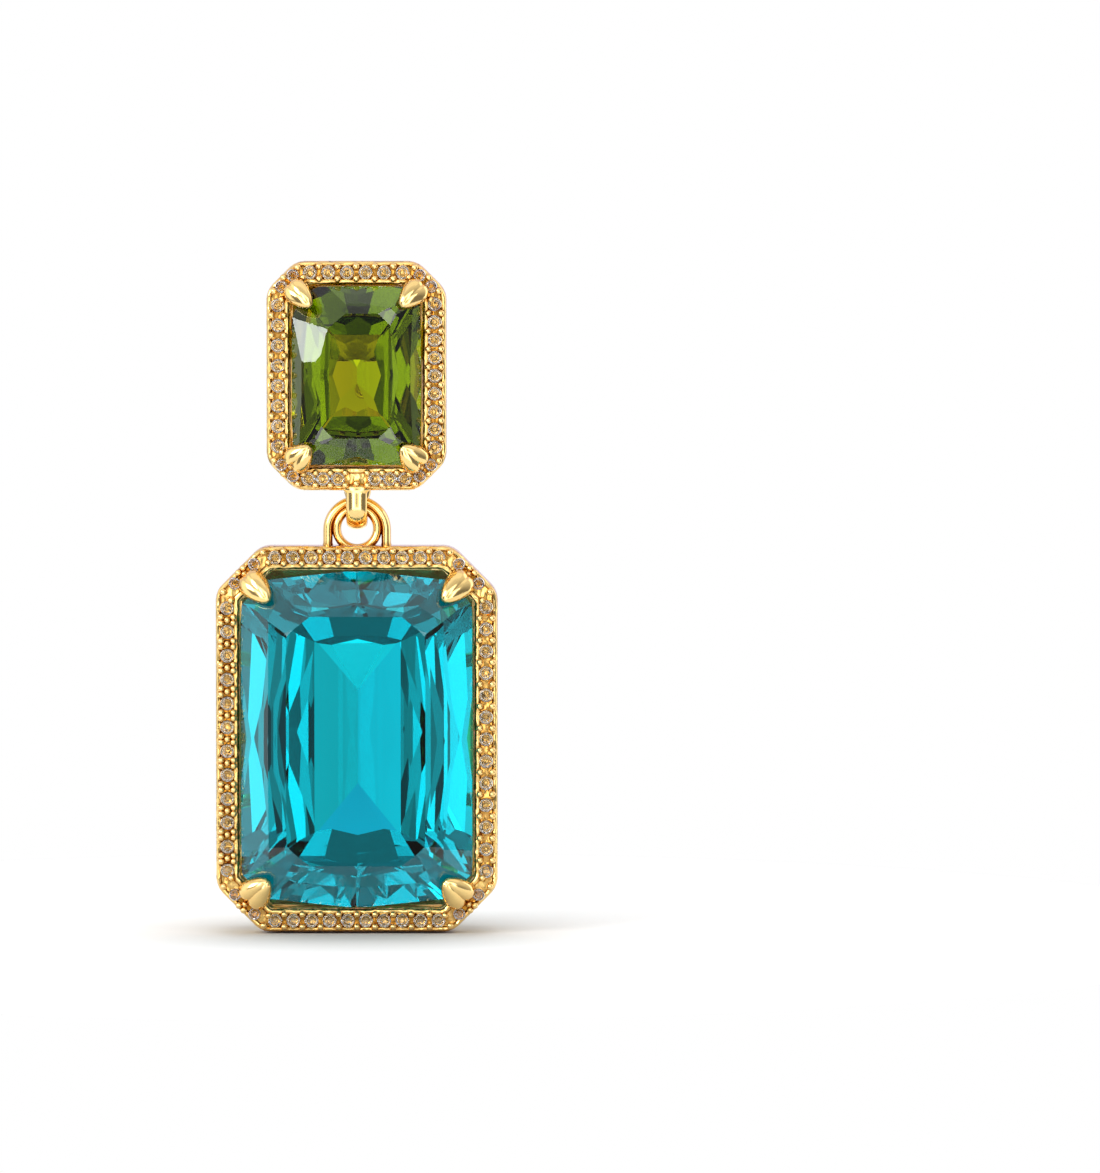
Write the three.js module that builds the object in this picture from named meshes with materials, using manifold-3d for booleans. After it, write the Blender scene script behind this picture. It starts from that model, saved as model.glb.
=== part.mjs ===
// Drop earring: a cut-corner upper setting with a green stone and an ear post, and a larger
// cut-corner drop with a blue stone that hangs from it on a ring and a loop.
// Millimetres, +Z up, the front faces -Y. The origin is on the ear post, where the ear lobe rests.

import * as THREE from 'three';
import { LoftGeometry } from 'three/addons/geometries/LoftGeometry.js';
import { mergeVertices } from 'three/addons/utils/BufferGeometryUtils.js';
import Module from 'manifold-3d';

const wasm = await Module();
wasm.setup();

// Sizes of the whole earring
const UPPER = { width: 10.7, height: 13.65, corner: 1.75 };
const DROP = { width: 16.8, height: 23.05, corner: 2.7 };
const SPACE_BETWEEN = 3.3;
const POST_RISE = 2.0;
const UPPER_DEPTH = 4.5;
const DROP_DEPTH = 6.1;
const DROP_BALANCE = 1.4;

// Sizes that both settings share
const RAIL_WIDTH = 1.35;
const RAIL_DEPTH = 2.6;
const SEAT_GAP = 0.3;
const LEDGE = 0.75;
const LEDGE_DEPTH = 0.6;
const RAIL_EDGE = 0.25;
const BACK_EDGE = 0.45;
const BACK_RAIL = 0.9;
const BASKET_TAPER = 0.55;
const STRUT = 0.8;
const STRUT_LAP = 0.25;
const STRUT_SHARES = { long: [0.25, 0.75], short: [0.5], corner: [0.5] };

// Small stones and the grains of metal between them
const PAVE_ROW = 0.72;
const PAVE_RADIUS = 0.42;
const PAVE_RISE = 0.24;
const GRAIN_RADIUS = 0.16;
const GRAIN_RISE = 0.15;
const GRAIN_OFFSET = 0.37;
const SUNK = 0.12;
const UPPER_ROWS = { top: 6, right: 9, bottom: 3, left: 8, corner: 2, middleSpace: 1.3 };
const DROP_ROWS = { top: 10, right: 13, bottom: 10, left: 12, corner: 2, middleSpace: 0 };

// Loop under the upper setting, and the double ring of the drop that hangs in it
const LOOP_WIDTH = 1.25;
const LOOP_BACK_WIDTH = 1.6;
const LOOP_THICK = 0.72;
const LOOP_INNER_RADIUS = 0.85;
const LOOP_PROUD = 0.12;
const LOOP_BACK_TOP = 1.1;
const COLLAR_TOP = 0.35;
const COLLAR_FLARE = 1.35;
const HOLE_RADIUS = 0.94;
const INNER_WIRE = 0.56;
const OUTER_WIRE = 0.58;
const WIRE_LAP = 0.05;
const WIRE_DEPTH = 1.0;
const ARCH_DROP = 0.1;
const LEG_LAP = 0.15;
const RING_RISE = 1.01;
const RING_GAP = 0.3;

// Ear post
const POST_RADIUS = 0.45;
const POST_LENGTH = 10.5;
const BAR_HEIGHT = 2.4;

// Claws: length, greatest radius, tilt in degrees and height over the rail
const UPPER_CLAW = { length: 2.3, radius: 0.8, tilt: 35, rise: 0.7 };
const DROP_CLAW = { length: 2.6, radius: 0.86, tilt: 37, rise: 0.78 };
const CLAW_SHAPE = [
  { along: 0.0, radius: 0.0 },
  { along: 0.06, radius: 0.55 },
  { along: 0.22, radius: 0.92 },
  { along: 0.4, radius: 1.0 },
  { along: 0.62, radius: 0.84 },
  { along: 0.84, radius: 0.5 },
  { along: 0.96, radius: 0.24 },
  { along: 1.0, radius: 0.0 },
];

// The two cut stones: how high their crowns stand over the rail, and half their girdle's height
const GREEN = { crown: 1.3, girdle: 0.12 };
const BLUE = { crown: 2.3, girdle: 0.17 };
const CULET_GAP = 0.35;

// Facet steps of both stones from table to keel: inset as a share of half the width, level as a
// share of the crown (up) or the pavilion (down), corner as a share of the girdle's corner cut.
const STEPS = [
  { inset: 0.45, up: 1.0, corner: 0.5 },
  { inset: 0.2, up: 0.66, corner: 0.82 },
  { inset: 0.0, girdle: -1, corner: 1.0 },
  { inset: 0.0, girdle: 1, corner: 1.0 },
  { inset: 0.26, down: 0.43, corner: 0.6 },
  { inset: 0.58, down: 0.79, corner: 0.36 },
  { inset: 0.92, down: 1.0, corner: 0.1 },
];

// Heights worked out from the sizes above
const UPPER_CENTRE_Z = -POST_RISE;
const UPPER_BOTTOM_Z = UPPER_CENTRE_Z - UPPER.height / 2;
const DROP_TOP_Z = UPPER_BOTTOM_Z - SPACE_BETWEEN;
const DROP_CENTRE_Z = DROP_TOP_Z - DROP.height / 2;
const RING_CENTRE_Z = DROP_TOP_Z + RING_RISE;
const LOOP_INSIDE_Z = RING_CENTRE_Z + HOLE_RADIUS - RING_GAP;

// Depths worked out from the sizes above. The hinge runs through the loop's middle, and the
// drop's centre of mass hangs under it when its rail's face is DROP_BALANCE in front of it.
const UPPER_FRONT_Y = -UPPER_DEPTH;
const HINGE_Y = UPPER_FRONT_Y - LOOP_PROUD + LOOP_THICK + LOOP_INNER_RADIUS;
const DROP_FRONT_Y = HINGE_Y - DROP_BALANCE;
const GREEN_DOWN = UPPER_DEPTH - BACK_RAIL - CULET_GAP;
const BLUE_DOWN = DROP_DEPTH - CULET_GAP;

// How fast the cut of a 45 degree corner shrinks when an outline moves inwards
const CORNER_SHRINK = 2 - Math.SQRT2;

// Edges shorter than this are left out of the finished meshes.
const SLIVER = 0.004;

const gold = new THREE.MeshStandardMaterial({ color: 0xe0a84e, metalness: 1, roughness: 0.22 });
const green = new THREE.MeshStandardMaterial({ color: 0x6f9a12, metalness: 0, roughness: 0.05 });
const blue = new THREE.MeshStandardMaterial({ color: 0x12b5d6, metalness: 0, roughness: 0.05 });

// Turns a closed three.js geometry into a solid.
function solid(geometry, matrix = new THREE.Matrix4()) {
  const plain = new THREE.BufferGeometry().copy(geometry).applyMatrix4(matrix);
  plain.deleteAttribute('normal');
  plain.deleteAttribute('uv');
  const merged = mergeVertices(plain, 1e-4);
  return new wasm.Manifold(new wasm.Mesh({
    numProp: 3,
    vertProperties: new Float32Array(merged.attributes.position.array),
    triVerts: new Uint32Array(merged.index.array),
  }));
}

// Turns a solid back into a flat-shaded three.js mesh, without slivers finer than SLIVER.
function meshOf(body, name, material) {
  const data = body.simplify(SLIVER).getMesh();
  const geometry = new THREE.BufferGeometry();
  geometry.setAttribute('position', new THREE.BufferAttribute(new Float32Array(data.vertProperties), 3));
  geometry.setIndex(new THREE.BufferAttribute(new Uint32Array(data.triVerts), 1));
  geometry.computeVertexNormals();
  const mesh = new THREE.Mesh(geometry, material);
  mesh.name = name;
  return mesh;
}

// The eight points of a rectangle with cut corners, upright at the depth y.
function outline(width, height, corner, y) {
  const x = width / 2;
  const z = height / 2;
  const c = corner;
  return [
    [-x, c - z], [-x, z - c], [c - x, z], [x - c, z],
    [x, z - c], [x, c - z], [x - c, -z], [c - x, -z],
  ].map(([px, pz]) => new THREE.Vector3(px, y, pz));
}

// A setting's outline moved inwards by an inset.
function insetOutline(size, inset, y) {
  const corner = Math.max(size.corner - inset * CORNER_SHRINK, 0.3);
  return outline(size.width - 2 * inset, size.height - 2 * inset, corner, y);
}

// A closed frame whose section is given by rows of inset and depth.
function frame(size, rows) {
  const sections = rows.map((row) => insetOutline(size, row.inset, row.depth));
  sections.push(insetOutline(size, rows[0].inset, rows[0].depth));
  return solid(new LoftGeometry(sections));
}

// A cut stone in a setting; extra makes it larger all round, for cutting its seat.
function stone(size, gem, pavilion, extra) {
  const around = RAIL_WIDTH + SEAT_GAP;
  const width = size.width - 2 * around;
  const height = size.height - 2 * around;
  const corner = size.corner - around * CORNER_SHRINK;
  const sections = STEPS.map((step) => {
    let depth = (step.girdle ?? 0) * gem.girdle;
    depth -= (step.up ?? 0) * gem.crown;
    depth += (step.down ?? 0) * pavilion;
    depth += Math.sign(depth) * extra;
    const inset = (step.inset * width) / 2 - extra;
    const cut = corner * step.corner + extra * CORNER_SHRINK;
    return outline(width - 2 * inset, height - 2 * inset, cut, depth);
  });
  return solid(new LoftGeometry(sections, { capStart: true, capEnd: true }));
}

// A bar with a square section between two points
function strut(from, to, width) {
  const corners = [[-1, -1], [-1, 1], [1, 1], [1, -1]];
  const sections = [from, to].map((p) => corners.map(([sx, sz]) => new THREE.Vector3(
    p.x + (sx * width) / 2, p.y, p.z + (sz * width) / 2,
  )));
  return solid(new LoftGeometry(sections, { capStart: true, capEnd: true }));
}

// A turned body about Y from rows of [radius, y].
function turned(rows, segments) {
  const points = rows.map(([radius, y]) => new THREE.Vector2(radius, y));
  return new THREE.LatheGeometry(points, segments);
}

// One small stone: round girdle, eight crown facets and a table.
const paveStone = solid(turned([
  [0, -SUNK], [PAVE_RADIUS, -SUNK], [PAVE_RADIUS, PAVE_RISE * 0.25],
  [PAVE_RADIUS * 0.55, PAVE_RISE], [0, PAVE_RISE],
], 8));

// One grain of metal that holds the small stones.
const grain = solid(turned([
  [0, -SUNK], [GRAIN_RADIUS, -SUNK], [GRAIN_RADIUS, GRAIN_RISE * 0.3], [0, GRAIN_RISE],
], 6));

// The straight runs of a rail's middle line, with how many small stones sit on each.
function runs(size, rows) {
  const points = insetOutline(size, PAVE_ROW, 0);
  const counts = [
    rows.left, rows.corner, rows.top, rows.corner,
    rows.right, rows.corner, rows.bottom, rows.corner,
  ];
  const list = [];
  points.forEach((from, i) => {
    const to = points[(i + 1) % points.length];
    if (i === 6 && rows.middleSpace > 0) {
      const middle = from.clone().lerp(to, 0.5);
      const step = to.clone().sub(from).normalize().multiplyScalar(rows.middleSpace / 2);
      list.push({ from, to: middle.clone().sub(step), count: counts[i] });
      list.push({ from: middle.clone().add(step), to, count: counts[i] });
    } else {
      list.push({ from, to, count: counts[i] });
    }
  });
  return list;
}

// All the small stones and grains of one setting, standing on its rail's face.
function pave(size, rows) {
  const bodies = [];
  const upright = new THREE.Matrix4().makeRotationZ(Math.PI);
  const place = (body, x, z) => {
    const m = new THREE.Matrix4().makeTranslation(x, 0, z).multiply(upright);
    bodies.push(body.transform(m.elements));
  };
  for (const { from, to, count } of runs(size, rows)) {
    const along = to.clone().sub(from).normalize();
    const pitch = to.distanceTo(from) / count;
    const side = new THREE.Vector3(-along.z, 0, along.x);
    for (let i = 0; i < count; i += 1) {
      const centre = from.clone().addScaledVector(along, pitch * (i + 0.5));
      place(paveStone, centre.x, centre.z);
      if (i < count - 1) {
        for (const s of [-1, 1]) {
          const spot = centre.clone().addScaledVector(along, pitch / 2);
          spot.addScaledVector(side, s * GRAIN_OFFSET);
          place(grain, spot.x, spot.z);
        }
      }
    }
  }
  return bodies;
}

// Four claws that lie over the stone's corners
function claws(size, claw) {
  const profile = CLAW_SHAPE.map((row) => [
    row.radius * claw.radius, (row.along - 0.5) * claw.length,
  ]);
  const body = solid(turned(profile, 12));
  const around = RAIL_WIDTH + SEAT_GAP;
  const reach = around + (size.corner - around * CORNER_SHRINK) / 2;
  const tilt = THREE.MathUtils.degToRad(claw.tilt);
  const bodies = [];
  for (const sx of [-1, 1]) {
    for (const sz of [-1, 1]) {
      const inward = new THREE.Vector3(-sx, 0, -sz).normalize().multiplyScalar(Math.cos(tilt));
      inward.y = -Math.sin(tilt);
      const turn = new THREE.Quaternion().setFromUnitVectors(new THREE.Vector3(0, 1, 0), inward);
      const spot = new THREE.Vector3(
        sx * (size.width / 2 - reach), -claw.rise, sz * (size.height / 2 - reach),
      );
      const m = new THREE.Matrix4().compose(spot, turn, new THREE.Vector3(1, 1, 1));
      bodies.push(body.transform(m.elements));
    }
  }
  return bodies;
}

// How far the back rail stands in from a setting's outline
function backInset(depth) {
  return RAIL_WIDTH + (depth - RAIL_DEPTH) * BASKET_TAPER;
}

// Sloping struts between the seat's ledge and the back rail
function struts(size, depth) {
  const high = insetOutline(size, RAIL_WIDTH + LEDGE - STRUT / 2, RAIL_DEPTH - STRUT_LAP);
  const low = insetOutline(size, backInset(depth) + BACK_RAIL / 2, depth - BACK_RAIL + STRUT_LAP);
  const kinds = ['long', 'corner', 'short', 'corner', 'long', 'corner', 'short', 'corner'];
  const bodies = [];
  kinds.forEach((kind, i) => {
    const next = (i + 1) % kinds.length;
    for (const share of STRUT_SHARES[kind]) {
      const from = high[i].clone().lerp(high[next], share);
      const to = low[i].clone().lerp(low[next], share);
      bodies.push(strut(from, to, STRUT));
    }
  });
  return bodies;
}

// Halo rail with its seat, open basket, small stones and claws, the rail's face at depth 0
function setting(size, depth, rows, claw, gem, pavilion) {
  const back = backInset(depth);
  const seat = RAIL_WIDTH + LEDGE;
  const rail = frame(size, [
    { inset: RAIL_EDGE, depth: 0 },
    { inset: 0, depth: RAIL_EDGE },
    { inset: 0, depth: RAIL_DEPTH - BACK_EDGE },
    { inset: BACK_EDGE, depth: RAIL_DEPTH },
    { inset: seat, depth: RAIL_DEPTH },
    { inset: seat, depth: LEDGE_DEPTH + LEDGE },
    { inset: RAIL_WIDTH, depth: LEDGE_DEPTH },
    { inset: RAIL_WIDTH, depth: RAIL_EDGE },
    { inset: RAIL_WIDTH - RAIL_EDGE, depth: 0 },
  ]);
  const backRail = frame(size, [
    { inset: back, depth: depth - BACK_RAIL },
    { inset: back, depth },
    { inset: back + BACK_RAIL, depth },
    { inset: back + BACK_RAIL, depth: depth - BACK_RAIL },
  ]);
  const all = wasm.Manifold.union([
    rail, backRail, ...struts(size, depth), ...pave(size, rows), ...claws(size, claw),
  ]);
  return all.subtract(stone(size, gem, pavilion, SEAT_GAP));
}

// The loop under the upper setting: a wire bent to a U in the upright plane x = 0.
function loop() {
  const middle = LOOP_INNER_RADIUS + LOOP_THICK / 2;
  const bendZ = LOOP_INSIDE_Z + LOOP_INNER_RADIUS;
  const backTop = UPPER_BOTTOM_Z + LOOP_BACK_TOP;
  const path = [{ y: middle, z: backTop, out: 0, width: LOOP_BACK_WIDTH }];
  const steps = 8;
  for (let i = 0; i <= steps; i += 1) {
    const angle = (Math.PI * i) / steps;
    const width = THREE.MathUtils.lerp(LOOP_BACK_WIDTH, LOOP_WIDTH, Math.min(1, (3 * i) / steps));
    path.push({ y: middle * Math.cos(angle), z: bendZ - middle * Math.sin(angle), out: -angle, width });
  }
  const collar = LOOP_WIDTH * COLLAR_FLARE;
  const front = { y: -middle, out: -Math.PI };
  path.push({ ...front, z: UPPER_BOTTOM_Z - COLLAR_TOP * 0.3, width: LOOP_WIDTH });
  path.push({ ...front, z: UPPER_BOTTOM_Z + COLLAR_TOP * 0.2, width: collar });
  path.push({ ...front, z: UPPER_BOTTOM_Z + COLLAR_TOP, width: collar });
  const sections = path.map((p) => {
    const ring = [];
    for (let k = 0; k < 10; k += 1) {
      const a = (-2 * Math.PI * k) / 10;
      const across = (p.width / 2) * Math.cos(a);
      const away = (LOOP_THICK / 2) * Math.sin(a);
      ring.push(new THREE.Vector3(
        across, HINGE_Y + p.y + away * Math.cos(p.out), p.z + away * Math.sin(p.out),
      ));
    }
    return ring;
  });
  return solid(new LoftGeometry(sections, { capStart: true, capEnd: true }));
}

// A wire ring about Y, its section an oval of 8 points.
function wireRing(radius, thick) {
  const profile = [];
  for (let k = 0; k <= 8; k += 1) {
    const a = (2 * Math.PI * (k % 8)) / 8;
    profile.push([radius + (thick / 2) * Math.cos(a), (WIRE_DEPTH / 2) * Math.sin(a)]);
  }
  return solid(turned(profile, 24));
}

// The double ring on the drop: a round inner wire and an outer arch with two straight legs.
function doubleRing() {
  const innerRadius = HOLE_RADIUS + INNER_WIRE / 2;
  const archRadius = HOLE_RADIUS + INNER_WIRE + OUTER_WIRE / 2 - WIRE_LAP;
  const inner = wireRing(innerRadius, INNER_WIRE).translate([0, HINGE_Y, RING_CENTRE_Z]);
  const archZ = RING_CENTRE_Z - ARCH_DROP;
  const arch = wireRing(archRadius, OUTER_WIRE).translate([0, HINGE_Y, archZ]);
  const halfSpace = solid(new THREE.BoxGeometry(6, 4, 3));
  const lower = halfSpace.translate([0, HINGE_Y, archZ - 1.5]);
  const legs = [-1, 1].map((s) => {
    const leg = new THREE.CylinderGeometry(1, 1, archZ - DROP_TOP_Z + 2 * LEG_LAP, 8);
    const m = new THREE.Matrix4().makeTranslation(s * archRadius, HINGE_Y, (archZ + DROP_TOP_Z) / 2);
    m.multiply(new THREE.Matrix4().makeScale(OUTER_WIRE / 2, WIRE_DEPTH / 2, 1));
    m.multiply(new THREE.Matrix4().makeRotationX(Math.PI / 2));
    return solid(leg, m);
  });
  return wasm.Manifold.union([arch.subtract(lower), inner, ...legs]);
}

// The ear post on its cross bar.
function earPost() {
  const pin = solid(turned([
    [0, -BACK_RAIL / 2], [POST_RADIUS, -BACK_RAIL / 2], [POST_RADIUS, POST_LENGTH - POST_RADIUS],
    [POST_RADIUS / 2, POST_LENGTH], [0, POST_LENGTH],
  ], 12));
  const barWidth = UPPER.width - 2 * backInset(UPPER_DEPTH) - BACK_RAIL;
  const bar = solid(new THREE.BoxGeometry(barWidth, BACK_RAIL, BAR_HEIGHT));
  return [pin, bar.translate([0, -BACK_RAIL / 2, 0])];
}

const upperMove = [0, UPPER_FRONT_Y, UPPER_CENTRE_Z];
const dropMove = [0, DROP_FRONT_Y, DROP_CENTRE_Z];

const upperSetting = wasm.Manifold.union([
  setting(UPPER, UPPER_DEPTH, UPPER_ROWS, UPPER_CLAW, GREEN, GREEN_DOWN).translate(upperMove),
  loop(), ...earPost(),
]);
const greenStone = stone(UPPER, GREEN, GREEN_DOWN, 0).translate(upperMove);
const dropSetting = wasm.Manifold.union([
  setting(DROP, DROP_DEPTH, DROP_ROWS, DROP_CLAW, BLUE, BLUE_DOWN).translate(dropMove),
  doubleRing(),
]);
const blueStone = stone(DROP, BLUE, BLUE_DOWN, 0).translate(dropMove);

const group = new THREE.Group();
group.add(meshOf(upperSetting, 'upper_setting', gold));
group.add(meshOf(greenStone, 'green_stone', green));
group.add(meshOf(dropSetting, 'drop_setting', gold));
group.add(meshOf(blueStone, 'blue_stone', blue));

export default group;
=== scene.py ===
# %% [markdown]
# # A drop earring in Blender
# A goldsmith would build this earring from a few kinds of parts: two gold frames set with rows of
# small stones, two large cut stones, eight claws that hold them, and the loop and ring that join the
# halves. Each part gets a step of its own here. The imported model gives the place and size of
# everything, so the first cell loads it, and every later piece is fitted to it.

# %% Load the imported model
import bpy
import bmesh
from math import cos, sin, pi, radians
from mathutils import Matrix, Vector


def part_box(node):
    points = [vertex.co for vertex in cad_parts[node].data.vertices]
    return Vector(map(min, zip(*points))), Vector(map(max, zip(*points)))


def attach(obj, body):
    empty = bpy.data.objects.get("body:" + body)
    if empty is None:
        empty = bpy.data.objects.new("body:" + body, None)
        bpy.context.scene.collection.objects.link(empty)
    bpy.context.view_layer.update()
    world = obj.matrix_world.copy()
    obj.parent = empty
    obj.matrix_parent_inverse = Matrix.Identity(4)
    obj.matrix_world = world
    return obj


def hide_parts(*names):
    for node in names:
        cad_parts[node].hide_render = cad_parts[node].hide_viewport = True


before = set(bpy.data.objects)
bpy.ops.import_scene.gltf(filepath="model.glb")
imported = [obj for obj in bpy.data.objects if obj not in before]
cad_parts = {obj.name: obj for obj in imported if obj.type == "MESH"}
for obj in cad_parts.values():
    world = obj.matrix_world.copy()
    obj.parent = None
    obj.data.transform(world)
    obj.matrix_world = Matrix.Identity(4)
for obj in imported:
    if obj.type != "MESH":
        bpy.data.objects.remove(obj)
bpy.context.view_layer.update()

# %% [markdown]
# ## Sizes
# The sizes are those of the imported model, in millimetres, because a jeweller thinks in millimetres.
# Blender works in metres, so each finished piece is scaled by MM just before it is kept. The middle
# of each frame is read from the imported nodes, and not typed in again.

# %% Name the sizes
MM = 0.001
RAIL_WIDTH = 1.35
RAIL_DEPTH = 2.6
LEDGE = 0.75
BACK_RAIL = 0.9
TAPER = 0.55

UPPER = dict(body="upper", slot="upper_gold", width=10.7, height=13.65, corner=1.75, depth=4.5,
             front=-4.5)
DROP = dict(body="drop", slot="drop_gold", width=16.8, height=23.05, corner=2.7, depth=6.1,
            front=-4.45)

for size, node in ((UPPER, "green_stone"), (DROP, "blue_stone")):
    low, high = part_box(node)
    size["middle"] = (low[2] + high[2]) / 2 / MM
    print(size["body"], "middle at", round(size["middle"], 3), "mm")

# %% [markdown]
# ## Keeping a piece
# Every piece ends the same way. Its bmesh is scaled to metres, its normals are made to point
# outwards, and it is written to a mesh that rides on one body of the earring. Metal is shaded smooth
# up to a crease angle, and a cut stone is left flat, because its facets are its beauty.

# %% Helpers to move, join and keep a piece
def move(bm, vec, verts=None):
    bmesh.ops.translate(bm, vec=vec, verts=verts or bm.verts)


def to_place(bm, size):
    move(bm, (0, size["front"], size["middle"]))


def absorb(bm, other):
    mesh = bpy.data.meshes.new("passing")
    other.to_mesh(mesh)
    other.free()
    bm.from_mesh(mesh)
    bpy.data.meshes.remove(mesh)


def keep(bm, name, material, size, crease=None):
    bmesh.ops.scale(bm, vec=(MM, MM, MM), verts=bm.verts)
    bmesh.ops.recalc_face_normals(bm, faces=bm.faces)
    mesh = bpy.data.meshes.new(name)
    bm.to_mesh(mesh)
    bm.free()
    if crease is not None:
        mesh.shade_smooth()
        mesh.set_sharp_from_angle(angle=radians(crease))
    mesh.materials.append(material)
    piece = bpy.data.objects.new(name, mesh)
    bpy.context.scene.collection.objects.link(piece)
    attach(piece, size["body"])
    print(name, len(mesh.polygons), "faces")
    return piece


# %% [markdown]
# ## The outline of a frame
# Both frames are rectangles with cut corners. One upright face is made from a grid of a single
# square, a bevel of its four points cuts the corners, and a second, small bevel rounds them. The cut
# shrinks when the outline moves inwards, because the slanted side moves in too, and SHRINK says how
# fast at 45 degrees.

# %% Make an upright face with cut corners
SHRINK = 2 - 2 ** 0.5
SMALLEST_CUT = 0.3


def corner_cut(size, inset):
    return max(size["corner"] - inset * SHRINK, SMALLEST_CUT)


def cut_points(bm, offset, segments):
    bmesh.ops.bevel(bm, geom=bm.verts[:], offset=offset, offset_type="OFFSET", segments=segments,
                    profile=0.5, affect="VERTICES", material=-1)


def plate(bm, size, inset, y, rounding):
    made = bmesh.ops.create_grid(bm, x_segments=1, y_segments=1, size=0.5)["verts"]
    width, height = size["width"] - 2 * inset, size["height"] - 2 * inset
    bmesh.ops.scale(bm, vec=(width, height, 1), verts=made)
    bmesh.ops.rotate(bm, cent=(0, 0, 0), matrix=Matrix.Rotation(pi / 2, 3, "X"), verts=made)
    move(bm, (0, y, 0), made)
    cut_points(bm, corner_cut(size, inset), 1)
    cut_points(bm, rounding, 3)
    bm.faces.ensure_lookup_table()
    return bm.faces[0]


def corner_points(size, inset):
    x, z = size["width"] / 2 - inset, size["height"] / 2 - inset
    c = corner_cut(size, inset)
    flat = [(-x, c - z), (-x, z - c), (c - x, z), (x - c, z),
            (x, z - c), (x, c - z), (x - c, -z), (c - x, -z)]
    return [Vector((px, 0, pz)) for px, pz in flat]


print("outline of the drop", len(corner_points(DROP, 0)), "corners")

# %% [markdown]
# ## Helpers for materials
# Every material here is a small tree of nodes. These helpers add a node and feed its sockets in one
# line: a socket takes either the output of another node or a plain value. Patterns read the Object
# coordinate, so that they stay on the piece when it swings.

# %% Helpers to add and feed nodes
def feed(tree, socket, value):
    if isinstance(value, bpy.types.NodeSocket):
        tree.links.new(value, socket)
    else:
        socket.default_value = value


def add(tree, kind, values):
    node = tree.nodes.new("ShaderNode" + kind)
    for name, value in values.items():
        feed(tree, node.inputs[name], value)
    return node


def start_material(name):
    material = bpy.data.materials.new(name)
    material.use_nodes = True
    tree = material.node_tree
    where = tree.nodes.new("ShaderNodeTexCoord").outputs["Object"]
    return material, tree, tree.nodes["Principled BSDF"].inputs, where


def noise(tree, where, scale, detail):
    return add(tree, "TexNoise", {"Vector": where, "Scale": scale, "Detail": detail}).outputs["Fac"]


def ramp(tree, value, stops):
    node = add(tree, "ValToRGB", {"Fac": value})
    for element, (position, colour) in zip(node.color_ramp.elements, stops):
        element.position = position
        element.color = (*colour, 1)
    return node.outputs["Color"]


def blend(tree, factor, first, second):
    mix = tree.nodes.new("ShaderNodeMix")
    mix.data_type = "RGBA"
    for name, value in (("Factor", factor), ("A", first), ("B", second)):
        feed(tree, mix.inputs[name], value)
    return mix.outputs["Result"]


def maths(tree, kind, *values):
    node = tree.nodes.new("ShaderNodeMath")
    node.operation = kind
    for socket, value in zip(node.inputs, values):
        feed(tree, socket, value)
    return node.outputs[0]


# Ambient Occlusion mask, 0 in closed recesses and 1 in the open; the gold and the floor use it to
# paint shade.
def openness(tree, samples, distance, closed, open_air):
    around = add(tree, "AmbientOcclusion", {"Distance": distance})
    around.samples = samples
    span = {"Value": around.outputs["AO"], "From Min": closed, "From Max": open_air}
    return add(tree, "MapRange", span).outputs["Result"]


# %% [markdown]
# ## Gold
# Polished gold is a plain metal with a warm colour, but a real piece is never even: polish thins
# on the edges, and fine lines are left by the buffing wheel. Pointiness needs dense meshes, so a
# soft noise makes the cloudy change of tone instead. Ambient Occlusion finds the recesses between
# the small stones, and the colour is painted darker and warmer there: painted shade, for the light
# that reaches those hollows less and bounces between gold walls. The face of the two rails is
# worked by hand round every stone, so a second, coarser bump dents it. Object Y keeps the dents to
# that face, because the sides and the back are filed smooth.

# %% Mix the gold
def dents(tree, where, deep):
    split = add(tree, "SeparateXYZ", {"Vector": where})
    span = {"Value": split.outputs["Y"], "From Min": -3.6 * MM, "From Max": -4.2 * MM}
    front = add(tree, "MapRange", span).outputs["Result"]
    height = maths(tree, "MULTIPLY", noise(tree, where, 1700.0, 1.0), front)
    bump = add(tree, "Bump", {"Strength": 0.8, "Distance": deep * MM, "Height": height})
    return bump.outputs["Normal"]


def gold(name, colour, recess_shade, roughness, ruffle=0.0):
    material, tree, shader, where = start_material(name)
    shader["Metallic"].default_value = 1.0
    cloud = noise(tree, where, 420.0, 4.0)
    dull, clean = [c * 0.9 for c in colour], [min(1, c * 1.05) for c in colour]
    tone = ramp(tree, cloud, [(0.3, dull), (0.7, clean)])
    # Painted shade: where Ambient Occlusion finds a recess, the colour turns to the darker, warmer
    # shade colour.
    in_open = openness(tree, 4, 0.35 * MM, 0.45, 0.98)
    feed(tree, shader["Base Color"], blend(tree, in_open, (*recess_shade, 1), tone))
    span = {"Value": cloud, "To Min": roughness * 0.7, "To Max": roughness * 1.4}
    feed(tree, shader["Roughness"], add(tree, "MapRange", span).outputs["Result"])
    lines = noise(tree, where, 9000.0, 3.0)
    bump = add(tree, "Bump", {"Strength": 0.08, "Distance": 0.02 * MM, "Height": lines})
    if ruffle:
        feed(tree, bump.inputs["Normal"], dents(tree, where, ruffle))
    feed(tree, shader["Normal"], bump.outputs["Normal"])
    return material


# The third colour of each metal is the painted shade for its recesses.
POLISHED = gold("polished_gold", (0.96, 0.68, 0.27), (0.5, 0.21, 0.03), 0.14)
BRIGHT = gold("bright_seat", (0.9, 0.95, 1.0), (0.84, 0.9, 0.98), 0.2)
CAST = gold("cast_gold", (0.95, 0.67, 0.25), (0.42, 0.17, 0.015), 0.12, ruffle=0.22)
print("metals", POLISHED.name, BRIGHT.name, CAST.name)


# %% [markdown]
# ## Coloured stones
# A gem's colour sits inside it: light that travels further comes out deeper. So the surface is clear
# glass, and Volume Absorption swallows a part of the light along the way, mostly red in the blue
# stone and mostly blue in the green one. That is why the thin edges look pale and the long paths
# between facets look dark. The index of refraction bends the light.

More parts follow.
